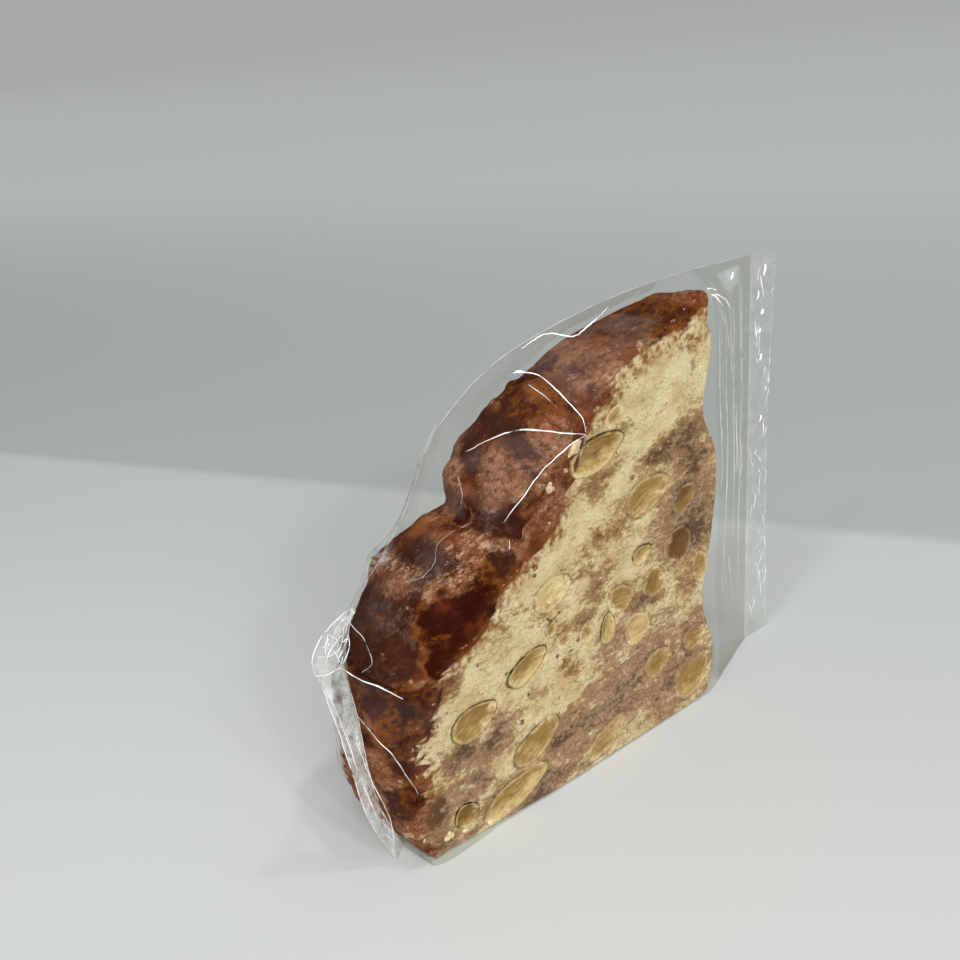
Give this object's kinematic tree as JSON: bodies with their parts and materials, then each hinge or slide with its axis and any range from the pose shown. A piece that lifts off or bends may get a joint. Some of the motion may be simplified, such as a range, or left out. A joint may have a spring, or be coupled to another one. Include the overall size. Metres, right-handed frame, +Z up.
{
  "type": "nougat slice in a clear flow pack",
  "caption": "Slice of soft almond nougat with a cocoa crust, standing on its flat base in a clear film flow pack with crimped end seals.",
  "frame": {"origin": "middle of the pack's bounding box on the surface it stands on", "axes": "+X along the pack from the folded seal at the crust end to the flat seal at the thin end, +Y from the front cut face to the back, +Z up"},
  "size_m": [0.1234, 0.0284, 0.0982],
  "materials": {
    "clear_film": "thin clear film, glossy, creased and crimped at its seals",
    "nougat": "cream nougat crumb marbled with pale brown cocoa, matt and slightly sticky",
    "cocoa_crust": "lumpy red-brown cocoa crust, dusty with a few glossy patches",
    "almond": "cut roasted almonds, ivory to tan with a thin dark skin",
    "label_print": "plain dark bars and boxes printed on the back of the film, no lettering"
  },
  "bodies": {
    "root": {"sealed_pack": "clear_film"}
  },
  "joints": []
}
